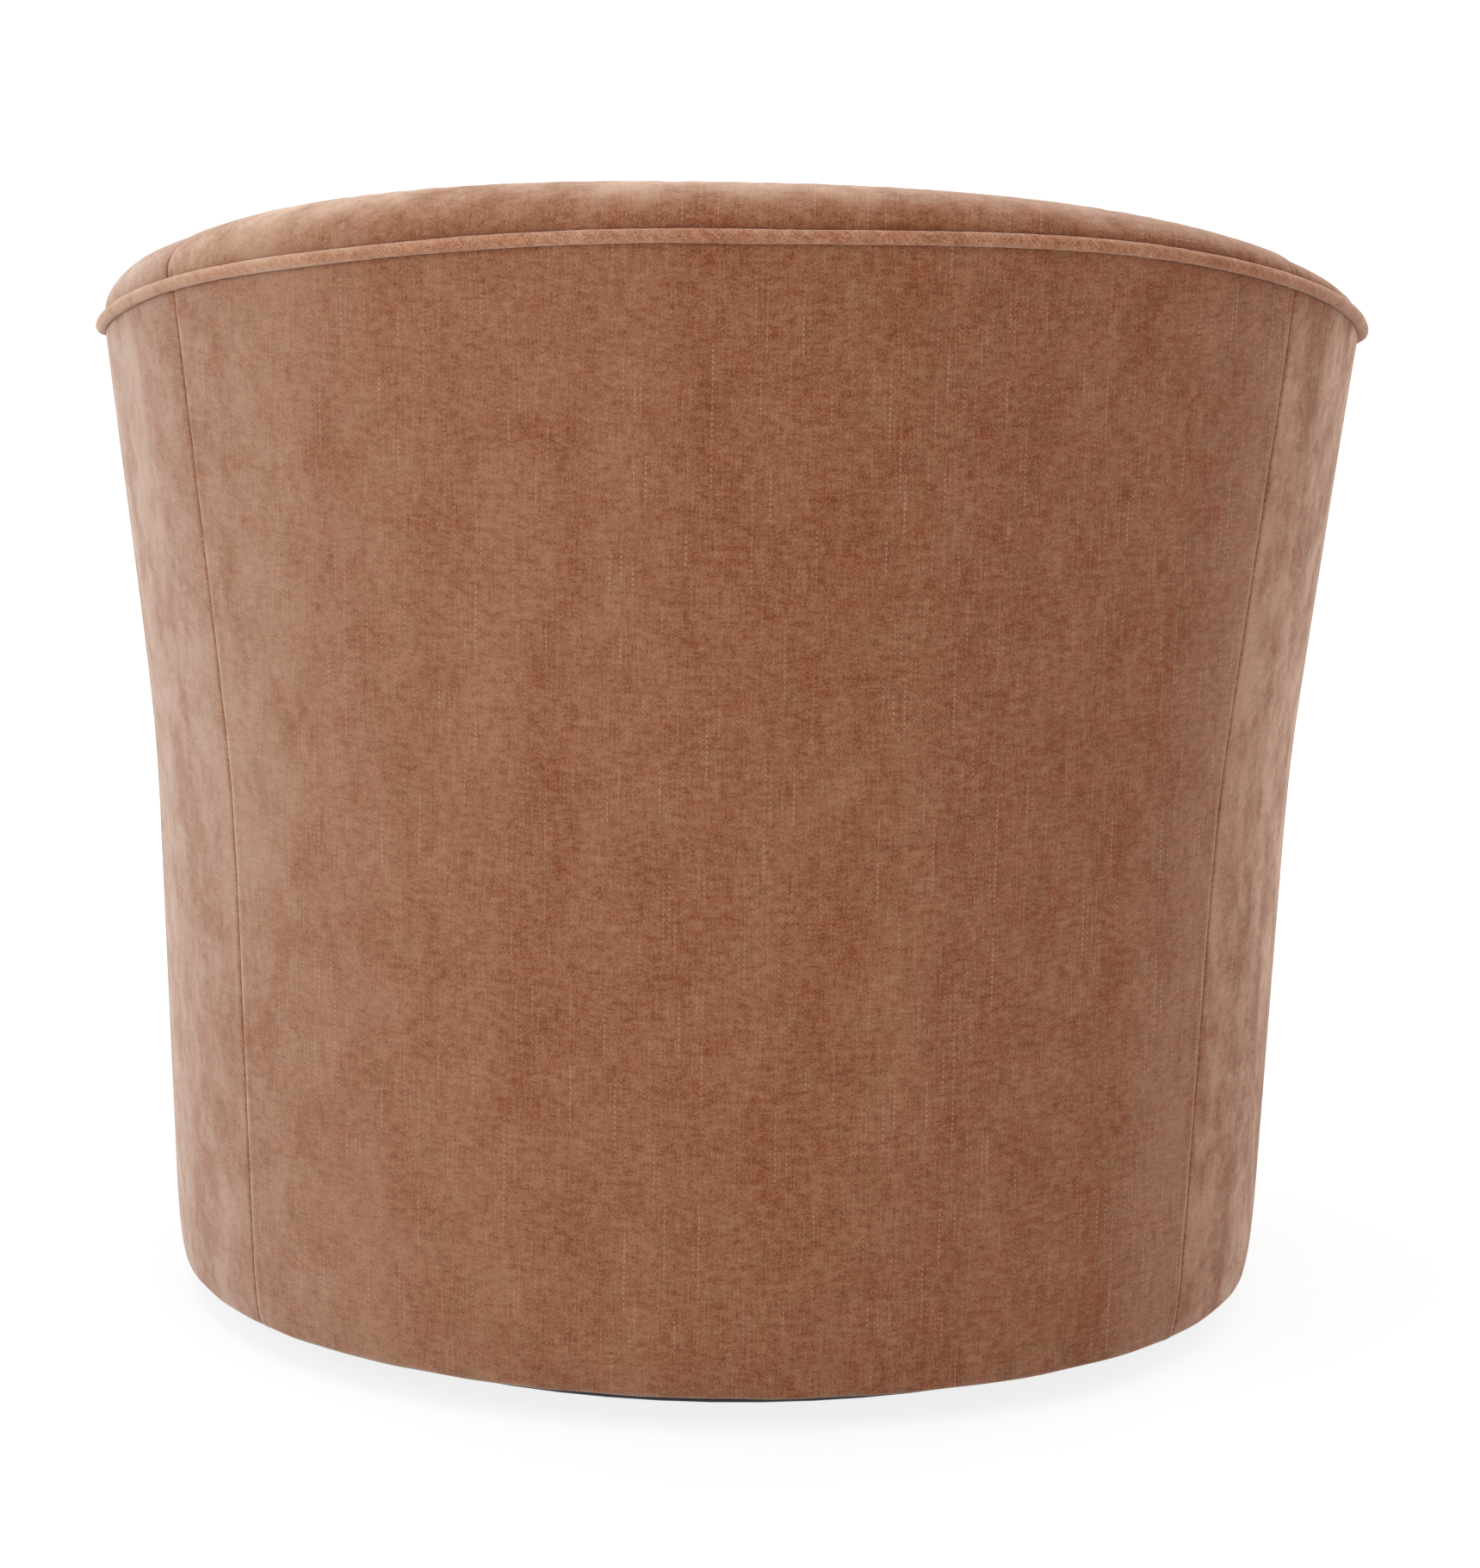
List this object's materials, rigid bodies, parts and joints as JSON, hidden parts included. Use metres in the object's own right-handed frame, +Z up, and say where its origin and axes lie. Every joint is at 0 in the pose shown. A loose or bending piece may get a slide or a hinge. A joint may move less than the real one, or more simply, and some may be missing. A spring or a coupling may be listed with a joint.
{
  "type": "swivel barrel armchair",
  "caption": "Low round armchair in soft chenille with a piped, padded rim that slopes down along the arms, a loose seat cushion, and a ball-bearing swivel on a round black base.",
  "frame": {"origin": "on the floor, under the swivel's axis", "axes": "+Z up along the swivel's axis; the chair faces -Y and its back is at +Y; +X is to the right of someone looking along +Y"},
  "size_m": [0.78, 0.8001, 0.7285],
  "materials": {
    "chenille": "matte",
    "lining": "matte",
    "elastic_webbing": "matte",
    "beech": "matte",
    "plywood": "matte",
    "black_board": "satin",
    "black_steel": "satin",
    "bright_steel": "satin",
    "nylon": "satin"
  },
  "bodies": {
    "base": {"base_disc": "black_board", "floor_glide_1": "nylon", "floor_glide_2": "nylon", "floor_glide_3": "nylon", "floor_glide_4": "nylon", "floor_glide_5": "nylon", "swivel_lower_plate": "black_steel", "lower_plate_screw_1": "bright_steel", "lower_plate_screw_2": "bright_steel", "lower_plate_screw_3": "bright_steel", "lower_plate_screw_4": "bright_steel", "pivot_pin": "bright_steel", "pivot_nut": "bright_steel"},
    "ball_race": {"ball_cage": "black_steel", "race_ball_1": "bright_steel", "race_ball_2": "bright_steel", "race_ball_3": "bright_steel", "race_ball_4": "bright_steel", "race_ball_5": "bright_steel", "race_ball_6": "bright_steel"},
    "chair_body": {"swivel_upper_plate": "black_steel", "upper_plate_bolt_1": "bright_steel", "upper_plate_bolt_2": "bright_steel", "upper_plate_bolt_3": "bright_steel", "upper_plate_bolt_4": "bright_steel", "cross_rail_left": "beech", "cross_rail_right": "beech", "bottom_ring": "plywood", "back_post_left": "beech", "back_post_right": "beech", "front_post_left": "beech", "front_post_right": "beech", "seat_rail_back": "beech", "seat_rail_front": "beech", "seat_rail_left": "beech", "seat_rail_right": "beech", "top_rail_back": "beech", "top_rail_left": "beech", "top_rail_right": "beech", "seat_spring_1": "bright_steel", "seat_spring_2": "bright_steel", "seat_spring_3": "bright_steel", "seat_spring_4": "bright_steel", "back_webbing_1": "elastic_webbing", "back_webbing_2": "elastic_webbing", "back_webbing_3": "elastic_webbing", "seat_deck": "chenille", "inside_back_pad": "chenille", "inside_arm_pad_left": "chenille", "inside_arm_pad_right": "chenille", "arm_front_left": "chenille", "arm_front_right": "chenille", "outside_back_cover": "chenille", "outside_arm_cover_left": "chenille", "outside_arm_cover_right": "chenille", "front_border": "chenille", "rim_piping": "chenille", "dust_cover": "lining"},
    "cushion": {"seat_cushion": "chenille"}
  },
  "joints": [
    {"name": "seat_swivel", "type": "hinge", "parent": "base", "child": "chair_body", "pos_m": [0, 0, 0.0299], "axis": [0, 0, 1], "continuous": true},
    {"name": "cage_turn", "type": "hinge", "parent": "base", "child": "ball_race", "pos_m": [0, 0, 0.0248], "axis": [0, 0, 1], "continuous": true},
    {"name": "cushion_lift", "type": "slide", "parent": "chair_body", "child": "cushion", "axis": [0, 0, 1], "range_m": [0, 0.35]}
  ],
  "couplings": [
    {"joint": "cage_turn", "follows": "seat_swivel", "ratio": 0.5}
  ]
}
